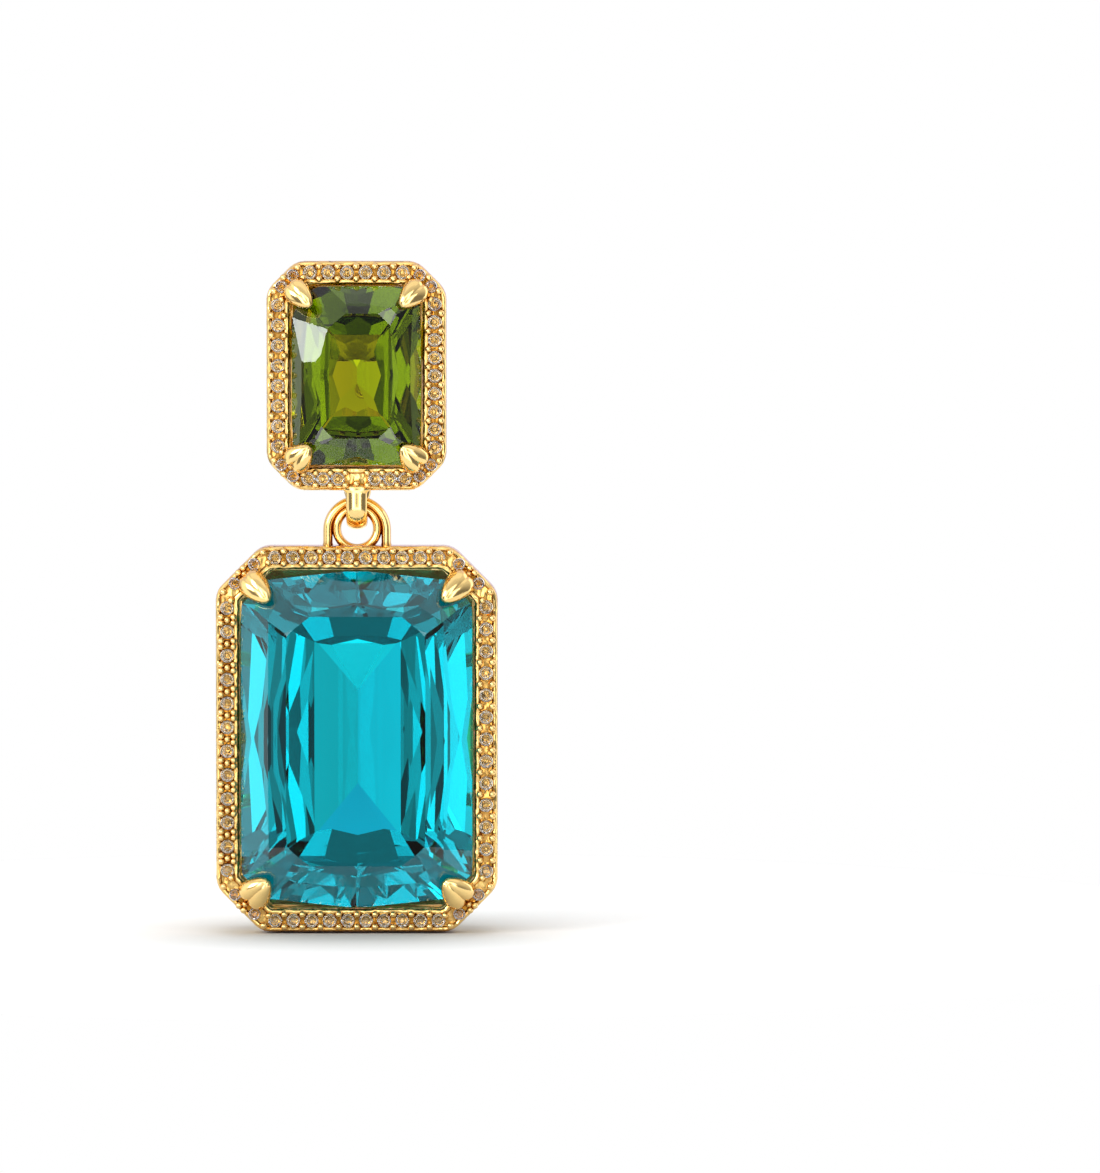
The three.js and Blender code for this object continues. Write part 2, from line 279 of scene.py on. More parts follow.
# %% Mix the stones
def gem(name, tint, density, index, wash, gleam):
    material, tree, shader, where = start_material(name)
    shader["Transmission Weight"].default_value = 1.0
    shader["Roughness"].default_value = 0.0
    shader["IOR"].default_value = index
    shader["Specular IOR Level"].default_value = gleam
    haze = noise(tree, where, 260.0, 3.0)
    feed(tree, shader["Base Color"], ramp(tree, haze, [(0.3, [c * 0.94 for c in wash]), (0.7, wash)]))
    inside = add(tree, "VolumeAbsorption", {"Color": (*tint, 1), "Density": density})
    feed(tree, tree.nodes["Material Output"].inputs["Volume"], inside.outputs["Volume"])
    return material


BLUE = gem("blue_stone_glass", (0.0, 0.947, 0.951), 1250.0, 1.6, (0.85, 0.88, 1.0), 0.15)
GREEN = gem("green_stone_glass", (0.866, 0.89, 0.0), 1900.0, 1.65, (1.0, 0.98, 0.8), 0.08)
CLEAR = gem("small_stone_glass", (0.2, 0.6, 0.95), 260.0, 1.9, (1.0, 1.0, 1.0), 0.9)
print("stones", BLUE.name, GREEN.name, CLEAR.name)

# %% [markdown]
# ## Cutting a large stone
# A lapidary grinds flat facets on a rough block, one after another, each at its own angle. The same
# is done here: a cube is the rough, and bisect_plane grinds away what lies outside each plane. A
# fill closes the cut after every facet. A slope is the angle between a facet and the flat table.

# %% Grind a facet
def grind(bm, point, normal):
    cut = bmesh.ops.bisect_plane(bm, geom=bm.verts[:] + bm.edges[:] + bm.faces[:], dist=1e-5,
                                 plane_co=point, plane_no=normal, clear_outer=True)
    rim = [g for g in cut["geom_cut"] if isinstance(g, bmesh.types.BMEdge)]
    rim = [e for e in rim if len(e.link_faces) == 1]
    if len(rim) > 2:
        bmesh.ops.edgeloop_fill(bm, edges=rim)


def four_ways(bm, point, normal):
    for sx in (-1, 1):
        for sz in (-1, 1):
            flip = Vector((sx, 1, sz))
            grind(bm, point * flip, normal * flip)


# %% [markdown]
# ## Steps and kites
# Both large stones are step cut: rows of long facets run round them, steeper near the girdle. Two
# facets that lean a little to either side are then ground over the edge between two rows. They show
# as tall narrow kites, and each kite mirrors another part of the studio, so the stone sparkles.

# %% Cut steps, then kites
STONE_GAP = 0.17
ROUGH_BLOCK = 60
DIAGONAL = 2 ** 0.5


def step_cut(bm, half, steps):
    rings = []
    for step in steps:
        side = half[0] - step["side"]
        end = half[1] - step["end"]
        rings.append(((side, (side + end - step["cut"]) / DIAGONAL, end), step["y"]))
    for (near, near_y), (far, far_y) in zip(rings, rings[1:]):
        back = 1 if near_y > 0 else -1
        for turn, a, b in zip((0, pi / 4, pi / 2), near, far):
            out = Vector((cos(turn), 0, sin(turn)))
            normal = out * abs(far_y - near_y) + Vector((0, back * abs(a - b), 0))
            four_ways(bm, out * a + Vector((0, near_y, 0)), normal.normalized())


def kites(bm, half, corner, cuts):
    to_corner = (half[0] + half[1] - corner) / DIAGONAL
    ways = dict(long=((1, 0, 0), half[0]), end=((0, 0, 1), half[1]), corner=((1, 0, 1), to_corner))
    for cut in cuts:
        out, reach = Vector(ways[cut["on"]][0]).normalized(), ways[cut["on"]][1]
        slope, twist = radians(cut["slope"]), radians(cut["twist"])
        back = Vector((0, -1 if cut["y"] < 0 else 1, 0))
        side = out.cross(Vector((0, 1, 0)))
        point = out * (reach - cut["inset"]) + side * cut["tip"] + Vector((0, cut["y"], 0))
        lean = (out * cos(twist) + side * sin(twist)) * sin(slope)
        four_ways(bm, point, lean + back * cos(slope))


def cut_stone(size, table, crown, pavilion, crown_kites, pavilion_kites):
    around = RAIL_WIDTH + STONE_GAP
    half = (size["width"] / 2 - around, size["height"] / 2 - around)
    bm = bmesh.new()
    bmesh.ops.create_cube(bm, size=ROUGH_BLOCK)
    step_cut(bm, half, [dict(crown[0], y=-0.01), dict(crown[0], y=0.01)])
    step_cut(bm, half, crown)
    step_cut(bm, half, pavilion)
    kites(bm, half, crown[0]["cut"], crown_kites + pavilion_kites)
    grind(bm, Vector((0, table, 0)), Vector((0, -1, 0)))
    return bm


# %% [markdown]
# ## The blue stone
# It has three rows of facets in front, round a large table, and four rows behind, which meet in a
# short keel. Sizes in the rows are how far in from the girdle each row ends.

# %% Cut the blue stone
BLUE_CROWN = [
    dict(side=0.0, end=0.0, cut=2.0, y=-0.17), dict(side=1.1, end=1.0, cut=1.75, y=-1.35),
    dict(side=1.85, end=1.8, cut=1.5, y=-1.93), dict(side=2.75, end=2.6, cut=1.2, y=-2.3)]
BLUE_BACK = [
    dict(side=0.0, end=0.0, cut=2.0, y=0.17), dict(side=1.3, end=1.1, cut=1.75, y=1.75),
    dict(side=2.8, end=2.3, cut=1.2, y=3.2), dict(side=4.3, end=3.6, cut=0.5, y=4.5),
    dict(side=6.55, end=6.75, cut=0.05, y=5.72)]
BLUE_CROWN_KITES = [
    dict(on="long", inset=1.85, y=-1.93, slope=30, tip=-1.5, twist=2.2),
    dict(on="long", inset=1.1, y=-1.35, slope=42.5, tip=-3.0, twist=1.5),
    dict(on="end", inset=1.8, y=-1.93, slope=30, tip=0.8, twist=-2.6),
    dict(on="end", inset=1.0, y=-1.35, slope=43, tip=1.0, twist=-2.0),
    dict(on="end", inset=1.0, y=-1.35, slope=44, tip=-3.0, twist=5.0),
    dict(on="corner", inset=1.31, y=-1.35, slope=37, tip=0.5, twist=9.0),
    dict(on="corner", inset=1.31, y=-1.35, slope=37, tip=-0.5, twist=-9.0),
    dict(on="corner", inset=2.23, y=-1.93, slope=27, tip=0.0, twist=7.0)]
BLUE_BACK_KITES = [
    dict(on="long", inset=1.3, y=1.75, slope=47, tip=-1.0, twist=2.4),
    dict(on="long", inset=1.3, y=1.75, slope=48.5, tip=3.0, twist=4.5),
    dict(on="long", inset=2.8, y=3.2, slope=42.5, tip=1.5, twist=1.2),
    dict(on="long", inset=2.8, y=3.2, slope=43.5, tip=4.5, twist=4.0),
    dict(on="end", inset=1.1, y=1.75, slope=52, tip=0.5, twist=-3.0),
    dict(on="end", inset=1.1, y=1.75, slope=51, tip=-2.5, twist=7.0),
    dict(on="end", inset=2.3, y=3.2, slope=45, tip=-0.6, twist=-3.0),
    dict(on="end", inset=2.3, y=3.2, slope=45, tip=-2.2, twist=8.0),
    dict(on="corner", inset=1.52, y=1.75, slope=44.8, tip=0.6, twist=7.0),
    dict(on="corner", inset=1.52, y=1.75, slope=44.8, tip=-0.6, twist=-7.0),
    dict(on="corner", inset=3.04, y=3.2, slope=42.3, tip=0.4, twist=6.0)]
BLUE_TABLE = -2.3
stone = cut_stone(DROP, BLUE_TABLE, BLUE_CROWN, BLUE_BACK, BLUE_CROWN_KITES, BLUE_BACK_KITES)
to_place(stone, DROP)
blue_stone = keep(stone, "blue_cut_stone", BLUE, DROP)
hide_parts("blue_stone")

# %% [markdown]
# ## The green stone
# It is cut in the same way, with three rows of facets in front and three behind. One large facet at
# its upper left shows plain silver: it leans just enough to mirror the brightest lamp of the studio
# straight back, so it is ground by itself and not four ways, and a second small facet trims its top.

# %% Cut the green stone
GREEN_CROWN = [
    dict(side=0.0, end=0.0, cut=0.95, y=-0.12), dict(side=0.6, end=0.6, cut=0.85, y=-0.78),
    dict(side=1.15, end=1.1, cut=0.8, y=-1.1), dict(side=1.75, end=1.6, cut=0.75, y=-1.3)]
GREEN_BACK = [
    dict(side=0.0, end=0.0, cut=0.95, y=0.12), dict(side=0.66, end=0.8, cut=0.8, y=0.91),
    dict(side=2.2, end=2.7, cut=0.6, y=2.6), dict(side=3.72, end=4.7, cut=0.05, y=3.38)]
GREEN_CROWN_KITES = [
    dict(on="long", inset=1.15, y=-1.1, slope=26, tip=-0.6, twist=3.5),
    dict(on="end", inset=1.1, y=-1.1, slope=26, tip=0.4, twist=-3.0),
    dict(on="end", inset=0.6, y=-0.78, slope=38, tip=0.3, twist=-6.0),
    dict(on="corner", inset=0.78, y=-0.78, slope=36, tip=0.25, twist=8.0),
    dict(on="corner", inset=0.78, y=-0.78, slope=36, tip=-0.25, twist=-8.0)]
GREEN_BACK_KITES = [
    dict(on="long", inset=0.66, y=0.91, slope=48, tip=-0.5, twist=5.0),
    dict(on="long", inset=2.2, y=2.6, slope=38, tip=-0.6, twist=6.0),
    dict(on="long", inset=2.2, y=2.6, slope=41, tip=1.4, twist=14.0),
    dict(on="end", inset=0.8, y=0.91, slope=40, tip=0.3, twist=-6.0),
    dict(on="end", inset=2.7, y=2.6, slope=31, tip=-0.9, twist=9.0),
    dict(on="corner", inset=0.93, y=0.91, slope=38.5, tip=0.4, twist=10.0)]
GREEN_TABLE = -1.3
SILVER_POINT, SILVER_LEAN, SILVER_TURN = Vector((-3.4, -0.55, 2.0)), radians(27), radians(15)
TRIM_POINT, TRIM_NORMAL = Vector((-1.7, -1.281, 2.8)), Vector((-0.337, -0.858, 0.386))
stone = cut_stone(UPPER, GREEN_TABLE, GREEN_CROWN, GREEN_BACK, GREEN_CROWN_KITES, GREEN_BACK_KITES)
sideways = Vector((-cos(SILVER_TURN), 0, sin(SILVER_TURN)))
grind(stone, SILVER_POINT, sideways * sin(SILVER_LEAN) - Vector((0, cos(SILVER_LEAN), 0)))
grind(stone, TRIM_POINT, TRIM_NORMAL)
to_place(stone, UPPER)
green_stone = keep(stone, "green_cut_stone", GREEN, UPPER)
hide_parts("green_stone")

# %% [markdown]
# ## The rail
# The rail is the gold frame that carries the small stones. Its section is drawn by a row of rings
# with the same outline, each further in and at its own depth: up over the outer lip, down into the
# channel for the stones, up over the inner lip, down the polished wall round the large stone and
# back along the outside. bridge_loops joins each ring to the next, and the last to the first. It
# gets muddled by two rings in one plane, so a flat face is crowned or sloped by a hair. Each row of
# SECTION gives a ring's inset, its depth and the rounding of its corners.

# %% Draw the rail's section ring by ring
def ring_edges(bm, size, inset, y, rounding):
    flat = bmesh.new()
    face = plate(flat, size, inset, y, rounding)
    bmesh.ops.delete(flat, geom=[face], context="FACES_ONLY")
    before = len(bm.edges)
    absorb(bm, flat)
    bm.edges.ensure_lookup_table()
    return bm.edges[before:]


def frame_of(bm, size, section):
    rings = [ring_edges(bm, size, *step) for step in section]
    for near, far in zip(rings, rings[1:] + rings[:1]):
        bmesh.ops.bridge_loops(bm, edges=near + far)


WALL = RAIL_WIDTH + 0.09
INNER = WALL + LEDGE
SECTION = [
    (0.0, 0.36, 0.5), (0.02, 0.2, 0.49), (0.06, 0.09, 0.46), (0.11, 0.03, 0.43), (0.16, 0.0, 0.4),
    (0.25, 0.02, 0.36), (0.3, 0.08, 0.33), (0.34, 0.14, 0.3), (0.68, 0.17, 0.22), (1.0, 0.14, 0.16),
    (1.04, 0.08, 0.15), (1.11, 0.0, 0.14), (1.21, -0.02, 0.13), (1.32, 0.03, 0.12),
    (1.39, 0.13, 0.12), (WALL, 0.3, 0.12), (WALL, 1.55, 0.12), (WALL + 0.1, 1.72, 0.1),
    (INNER - 0.1, 2.0, 0.1), (INNER, 2.12, 0.1), (INNER, RAIL_DEPTH - 0.1, 0.1),
    (INNER - 0.1, RAIL_DEPTH, 0.1), (0.45, RAIL_DEPTH - 0.02, 0.3), (0.25, RAIL_DEPTH - 0.08, 0.4),
    (0.08, RAIL_DEPTH - 0.3, 0.46), (0.0, RAIL_DEPTH - 0.6, 0.5),
]
for size in (UPPER, DROP):
    bm = bmesh.new()
    frame_of(bm, size, SECTION)
    to_place(bm, size)
    size["rail"] = keep(bm, size["body"] + "_rail", CAST, size, crease=40)

# %% [markdown]
# ## The basket behind
# Behind the rail an open basket lets light reach the large stone. It is a second, smaller frame
# joined to the rail by sloping struts. Each strut is a cube that is stretched, turned to its place
# and given a small bevel, as a filed bar has.

# %% Build the basket
STRUT = 0.8
STRUT_BITE = 0.25
STRUT_SHARES = [(0.25, 0.75), (0.5,), (0.5,), (0.5,)] * 2


def bevel_box(bm, verts, offset):
    edges = list({e for v in verts for e in v.link_edges})
    return bmesh.ops.bevel(bm, geom=edges, offset=offset, offset_type="OFFSET", segments=2,
                           profile=0.5, affect="EDGES", material=-1)["verts"]


def strut(bm, start, end, thick):
    axis = end - start
    made = bmesh.ops.create_cube(bm, size=1.0)["verts"]
    bmesh.ops.scale(bm, vec=(thick, axis.length, thick), verts=made)
    made = bevel_box(bm, made, thick * 0.18)
    turn = Vector((0, 1, 0)).rotation_difference(axis).to_matrix()
    bmesh.ops.rotate(bm, cent=(0, 0, 0), matrix=turn, verts=made)
    move(bm, (start + end) / 2, made)


def basket_inset(size):
    return RAIL_WIDTH + (size["depth"] - RAIL_DEPTH) * TAPER


def basket(size):
    bm = bmesh.new()
    outer, inner = basket_inset(size), basket_inset(size) + BACK_RAIL
    mid = outer + BACK_RAIL / 2
    top, low = size["depth"] - BACK_RAIL, size["depth"]
    frame_of(bm, size, [
        (outer, top + 0.14, 0.12), (outer + 0.04, top + 0.05, 0.12), (outer + 0.14, top + 0.01, 0.1),
        (mid, top, 0.1), (inner - 0.14, top + 0.01, 0.1), (inner - 0.04, top + 0.05, 0.1),
        (inner, top + 0.14, 0.1), (inner, low - 0.14, 0.1), (inner - 0.04, low - 0.05, 0.1),
        (inner - 0.14, low - 0.01, 0.1), (mid, low, 0.1), (outer + 0.14, low - 0.01, 0.1),
        (outer + 0.04, low - 0.05, 0.12), (outer, low - 0.14, 0.12)])
    high = corner_points(size, RAIL_WIDTH + LEDGE - STRUT / 2)
    deep = corner_points(size, mid)
    for i, shares in enumerate(STRUT_SHARES):
        for share in shares:
            start = high[i].lerp(high[(i + 1) % 8], share)
            end = deep[i].lerp(deep[(i + 1) % 8], share)
            start.y, end.y = RAIL_DEPTH - STRUT_BITE, top + STRUT_BITE
            strut(bm, start, end, STRUT)
    return bm


for size in (UPPER, DROP):
    bm = basket(size)
    to_place(bm, size)
    size["basket"] = keep(bm, size["body"] + "_basket", POLISHED, size, crease=40)

# %% [markdown]
# ## Where the small stones sit
# The rows follow the rail's middle line. The number on each side is counted from the object, and
# the stones are spread evenly between the corners. Under the upper stone a row is parted in two, to
# leave room for the loop. The same walk gives the places of the grains: two beside each gap between
# stones, or five where the gap is wide.

# %% Lay out the rows
PAVE_ROW = 0.69
LOOP_ROOM = 0.65
CORNER_SHIFT = 0.2
WIDE_GAP = 1.35
GRAIN_REACH = 0.37
CORNER_REACH = 0.3
ROWS = dict(
    upper=[8, 2, 6, 2, 9, 2, (3, 3), 2],
    drop=[12, 2, 10, 2, 13, 2, 10, 2],
)


def runs_of(start, end, count):
    if not isinstance(count, tuple):
        return [(start, end, count)]
    gap = (end - start).normalized() * LOOP_ROOM
    middle = (start + end) / 2
    return [(start, middle - gap, count[0]), (middle + gap, end, count[1])]


def grains_between(place, side, pitch, corner):
    reach = CORNER_REACH if corner else GRAIN_REACH
    if pitch.length <= WIDE_GAP:
        return [place + side * s * reach for s in (-1, 1)]
    pairs = [place + side * s * reach + pitch * t * 0.12 for s in (-1, 1) for t in (-1, 1)]
    return pairs + [place]


def spots(size):
    points = corner_points(size, PAVE_ROW)
    stones, grains = [], []
    for i, count in enumerate(ROWS[size["body"]]):
        start, end = points[i], points[(i + 1) % 8]
        corner = i % 2 == 1
        shift = ((start + end) / 2).normalized() * CORNER_SHIFT if corner else Vector()
        for a, b, n in runs_of(start, end, count):
            pitch = (b - a) / n
            side = Vector((-pitch.z, 0, pitch.x)).normalized()
            for k in range(n):
                stones.append((a + pitch * (k + 0.5) + shift, 0.8 if corner else 0.9))
                if k < n - 1:
                    grains += grains_between(a + pitch * (k + 1) + shift, side, pitch, corner)
            if n == 3:
                grains += [(a if a != start else b) + side * s * GRAIN_REACH for s in (-1, 1)]
        grains += [end + end.normalized() * s * 0.34 for s in (-1, 1)]
    if size["body"] == "upper":
        grains.append(Vector((0, 0, -size["height"] / 2 + 0.42)))
    return stones, grains


for size in (UPPER, DROP):
    size["stones"], size["grains"] = spots(size)
    print(size["body"], len(size["stones"]), "small stones", len(size["grains"]), "grains")

# %% [markdown]
# ## Small stones and their seats
# Each small stone is a round brilliant: a cone with a flat table in front and a point behind. It
# sits in a turned cup of white metal with a bright rim, which sends light back through the stone.
# Both are made once and then repeated along the rows, each stone turned a little further than the
# last so that they don't all sparkle alike. A row of many stones is one mesh, which keeps the file
# light.

# %% Cut one small stone and turn one seat
STONE_TURN = 0.37
BRILLIANT = [(0, -0.2), (0.21, -0.2), (0.4, -0.03), (0.4, 0.0), (0, 0.35)]
CUP = [(0, 0.4), (0.41, 0.01), (0.41, -0.07), (0.44, -0.1), (0.47, -0.06), (0.49, 0.05),
       (0.5, 0.3), (0.46, 0.55), (0, 0.55)]


def spin_profile(points, steps):
    bm = bmesh.new()
    verts = [bm.verts.new((r, y, 0)) for r, y in points]
    edges = [bm.edges.new(pair) for pair in zip(verts, verts[1:])]
    bmesh.ops.spin(bm, geom=verts + edges, cent=(0, 0, 0), axis=(0, 1, 0), dvec=(0, 0, 0),
                   angle=2 * pi, steps=steps, use_merge=True)
    bmesh.ops.remove_doubles(bm, verts=bm.verts, dist=1e-4)
    bmesh.ops.recalc_face_normals(bm, faces=bm.faces)
    return bm


def repeat(bm, places, turns, sizes):
    pattern = bpy.data.meshes.new("pattern")
    bm.to_mesh(pattern)
    bm.free()
    out = bmesh.new()
    for place, turn, grow in zip(places, turns, sizes):
        before = len(out.verts)
        out.from_mesh(pattern)
        out.verts.ensure_lookup_table()
        fresh = out.verts[before:]
        bmesh.ops.scale(out, vec=(grow, grow, grow), verts=fresh)
        bmesh.ops.rotate(out, cent=(0, 0, 0), matrix=Matrix.Rotation(turn, 3, "Y"), verts=fresh)
        move(out, place, fresh)
    bpy.data.meshes.remove(pattern)
    return out


for size in (UPPER, DROP):
    places = [place for place, _ in size["stones"]]
    sizes = [grow for _, grow in size["stones"]]
    turns = [STONE_TURN * k for k in range(len(places))]
    bm = repeat(spin_profile(BRILLIANT, 8), places, turns, sizes)
    to_place(bm, size)
    keep(bm, size["body"] + "_small_stones", CLEAR, size)
    bm = repeat(spin_profile(CUP, 16), places, turns, sizes)
    to_place(bm, size)
    size["seats"] = keep(bm, size["body"] + "_seats", BRIGHT, size, crease=50)

# %% [markdown]
# ## Grains
# A setter raises small grains of metal from the rail with a graver and pushes them over the stones'
# edges. Each is a little ball, an icosphere, sunk in the rail.

# %% Raise the grains
GRAIN_RADIUS = 0.215
GRAIN_LIFT = Vector((0, -0.04, 0))
for size in (UPPER, DROP):
    ball = bmesh.new()
    bmesh.ops.create_icosphere(ball, subdivisions=2, radius=GRAIN_RADIUS)
    bmesh.ops.scale(ball, vec=(1, 1.15, 1), verts=ball.verts)
    places = [place + GRAIN_LIFT for place in size["grains"]]
    bm = repeat(ball, places, [0.0] * len(places), [1.0] * len(places))
    to_place(bm, size)
    size["beads"] = keep(bm, size["body"] + "_grains", POLISHED, size, crease=180)

# %% [markdown]
# ## Claws
# A claw grows out of the rail's corner and lies over the stone, thick where it starts and round at
# its tip. Each is filed to two lobes with a crease between them, so two drops are turned on a lathe,
# laid side by side with their tips together, and tilted to the slope of the stone's crown. CLAW
# gives the drop's half width at steps along its length, both as shares of its full size.

# %% Turn and place the claws
CLAW = [(0.0, 0.0), (0.03, 0.32), (0.09, 0.62), (0.19, 0.87), (0.33, 1.0), (0.49, 0.97),
        (0.65, 0.86), (0.79, 0.69), (0.9, 0.48), (0.965, 0.27), (1.0, 0.0)]
CLAW_INSET = RAIL_WIDTH + 0.3
CLAW_MIDDLE = 0.48


def one_claw(out, shape, sx, sz, place):
    length, radius, tilt = shape["length"], shape["radius"], radians(shape["tilt"])
    flat = Vector((-sx, 0, -sz)).normalized() * cos(tilt)
    inward = Vector((flat.x, -sin(tilt), flat.z))
    across = inward.cross(Vector((0, 1, 0))).normalized()
    frame_turn = Matrix((across, inward, across.cross(inward))).transposed()
    for lobe in (-1, 1):
        one = spin_profile([(r * radius, (t - 1) * length) for t, r in CLAW], 20)
        spread = Matrix.Rotation(radians(lobe * shape["spread"]), 3, "Z")
        bmesh.ops.rotate(one, cent=(0, 0, 0), matrix=spread, verts=one.verts)
        move(one, (0, length * CLAW_MIDDLE, 0))
        bmesh.ops.rotate(one, cent=(0, 0, 0), matrix=frame_turn, verts=one.verts)
        move(one, place)
        absorb(out, one)


def claws(size, upper, lower, rise):
    out = bmesh.new()
    reach = CLAW_INSET + (size["corner"] - CLAW_INSET * SHRINK) / 2
    x, z = size["width"] / 2 - reach, size["height"] / 2 - reach
    for sx in (-1, 1):
        for sz, shape in ((1, upper), (-1, lower)):
            one_claw(out, shape, sx, sz, (sx * x, -rise, sz * z))
    return out


UPPER["claw"] = (dict(length=2.25, radius=0.6, tilt=31, spread=7),
                 dict(length=2.05, radius=0.57, tilt=31, spread=13), 0.62)
DROP["claw"] = (dict(length=2.55, radius=0.66, tilt=33, spread=7),
                dict(length=2.3, radius=0.65, tilt=33, spread=13), 0.7)
for size in (UPPER, DROP):
    bm = claws(size, *size["claw"])
    to_place(bm, size)
    size["claws"] = keep(bm, size["body"] + "_claws", POLISHED, size, crease=180)


# %% [markdown]
# ## The loop
# The drop hangs on a strong loop soldered under the upper frame. An oval section is swept along a U:
# a spin makes the bend, and extrudes make the two straight legs. The back leg is wider, and the front
# leg ends in a flared collar on the rail. COLLAR and BACK_LEG are the legs' last steps: how far up,
# how far back and how much wider each goes.

# %% Bend the loop
HINGE_Y = -3.05
RING_Z = -11.115
RING_HOLE = 0.94
RING_PLAY = 0.3
LOOP_WIDE, LOOP_THICK, LOOP_INNER = 1.25, 0.72, 0.85
BEND_Z = RING_Z + RING_HOLE - RING_PLAY + LOOP_INNER
UPPER_BOTTOM = UPPER["middle"] - UPPER["height"] / 2
LEG = UPPER_BOTTOM - BEND_Z
COLLAR = [(LEG - 0.22, 0.0, 1.0), (0.12, -0.01, 1.06), (0.1, -0.03, 1.2), (0.14, 0.0, 1.08),
          (0.14, 0.05, 0.94), (0.1, 0.12, 0.8)]
BACK_LEG = [(0.3, 0.0, 1.14), (0.3, 0.0, 1.12), (LEG + 0.5, 0.0, 1.0)]


def oval(bm, wide, thick, sides):
    made = bmesh.ops.create_circle(bm, cap_ends=False, segments=sides, radius=1.0)["verts"]
    bmesh.ops.scale(bm, vec=(wide / 2, thick / 2, 1), verts=made)
    return made


def push_edges(bm, edges, steps):
    for up, back, grow in steps:
        made = bmesh.ops.extrude_edge_only(bm, edges=edges)["geom"]
        verts = [g for g in made if isinstance(g, bmesh.types.BMVert)]
        fresh = set(verts)
        edges = [e for e in bm.edges if e.verts[0] in fresh and e.verts[1] in fresh]
        move(bm, (0, back, up), verts)
        centre = sum((v.co for v in verts), Vector()) / len(verts)
        bmesh.ops.scale(bm, vec=(grow, 1, 1), verts=verts, space=Matrix.Translation(-centre))
    bmesh.ops.edgeloop_fill(bm, edges=edges)


bm = bmesh.new()
start = oval(bm, LOOP_WIDE, LOOP_THICK, 20)
move(bm, (0, -LOOP_INNER - LOOP_THICK / 2, 0), start)
front_ring = bm.edges[:]
spun = bmesh.ops.spin(bm, geom=start + front_ring, cent=(0, 0, 0), axis=(1, 0, 0), dvec=(0, 0, 0),
                      angle=pi, steps=20, use_merge=False)["geom_last"]
back_ring = [g for g in spun if isinstance(g, bmesh.types.BMEdge)]
push_edges(bm, front_ring, COLLAR)
push_edges(bm, back_ring, BACK_LEG)
move(bm, (0, HINGE_Y, BEND_Z))
loop = keep(bm, "upper_loop", POLISHED, UPPER, crease=60)


# %% [markdown]
# ## The double ring
# Two round wires are soldered side by side on top of the drop: a full inner ring, and an outer arch
# whose ends run down into the rail. Each is an oval spun about the ring's axis.

# %% Spin the two wires
WIRE, ARCH_WIRE, WIRE_DEPTH = 0.56, 0.58, 1.0
SOLDER = 0.05
ARCH_LEG = [(-0.75, 0.0, 1.0), (-0.14, 0.0, 1.12), (-0.3, 0.0, 1.12)]


def wire_ring(bm, radius, thick, angle, steps):
    made = oval(bm, thick, WIRE_DEPTH, 18)
    move(bm, (radius, 0, 0), made)
    edges = list({e for v in made for e in v.link_edges})
    spun = bmesh.ops.spin(bm, geom=made + edges, cent=(0, 0, 0), axis=(0, 1, 0), dvec=(0, 0, 0),
                          angle=angle, steps=steps, use_merge=abs(angle) >= 2 * pi)
    return edges, [g for g in spun["geom_last"] if isinstance(g, bmesh.types.BMEdge)]


bm = bmesh.new()
wire_ring(bm, RING_HOLE + WIRE / 2, WIRE, 2 * pi, 48)
bmesh.ops.remove_doubles(bm, verts=bm.verts, dist=1e-4)
arch = bmesh.new()
for edges in wire_ring(arch, RING_HOLE + WIRE + ARCH_WIRE / 2 - SOLDER, ARCH_WIRE, -pi, 28):
    push_edges(arch, edges, ARCH_LEG)
move(arch, (0, 0, -0.1))
absorb(bm, arch)
move(bm, (0, HINGE_Y, RING_Z))
double_ring = keep(bm, "drop_ring", POLISHED, DROP, crease=60)

# %% [markdown]
# ## The ear post
# The post goes through the ear lobe. It is a plain pin on a bar across the back of the upper
# basket, and its profile is turned round its axis, with a shallow groove near its end.

# %% Turn the post and lay its bar
POST = [(0, -0.45), (0.45, -0.45), (0.45, 8.6), (0.38, 8.75), (0.38, 9.0), (0.45, 9.15),
        (0.45, 10.1), (0.36, 10.35), (0.2, 10.48), (0, 10.5)]
BAR_HEIGHT = 2.4
pin = spin_profile(POST, 24)
bar_width = UPPER["width"] - 2 * basket_inset(UPPER) - BACK_RAIL
made = bmesh.ops.create_cube(pin, size=1.0)["verts"]
bmesh.ops.scale(pin, vec=(bar_width, BACK_RAIL, BAR_HEIGHT), verts=made)
move(pin, (0, -BACK_RAIL / 2, 0), made)
bevel_box(pin, made, 0.12)
post = keep(pin, "ear_post", POLISHED, UPPER, crease=40)

# %% [markdown]
# ## Taking the place of the plain solids
# The imported model has one plain solid for each gold setting. The pieces above dress it, and that
# solid is then hidden.

# %% Replace the two plain settings
METAL = ("rail", "basket", "seats", "beads", "claws")
for piece in [UPPER[part] for part in METAL] + [loop, post]:
    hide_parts("upper_setting")
for piece in [DROP[part] for part in METAL] + [double_ring]:
    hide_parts("drop_setting")
print("replaced upper_setting and drop_setting")

# %% [markdown]
# ## The floor
# The floor is a pale sheet just under the drop. The white tent lights it evenly, so it would show no
# shadow of its own. Ambient Occlusion measures how near the drop is to each point of the sheet, and
# tints the sheet grey there, which gives the soft shade under the drop.

# %% Lay the floor
FLOOR_RADIUS = 0.055
FLOOR_GAP = 0.0001
SHADE_REACH = 0.014


def paper(name, colour, shade, roughness):
    material, tree, shader, where = start_material(name)
    shader["Roughness"].default_value = roughness
    shader["Specular IOR Level"].default_value = 0.0
    grain = noise(tree, where, 270.0, 2.0)
    tone = ramp(tree, grain, [(0.0, [c * 0.99 for c in colour]), (1.0, colour)])
    in_open = openness(tree, 16, SHADE_REACH, 0.6, 0.97)
    feed(tree, shader["Base Color"], blend(tree, in_open, (*shade, 1), tone))
    return material


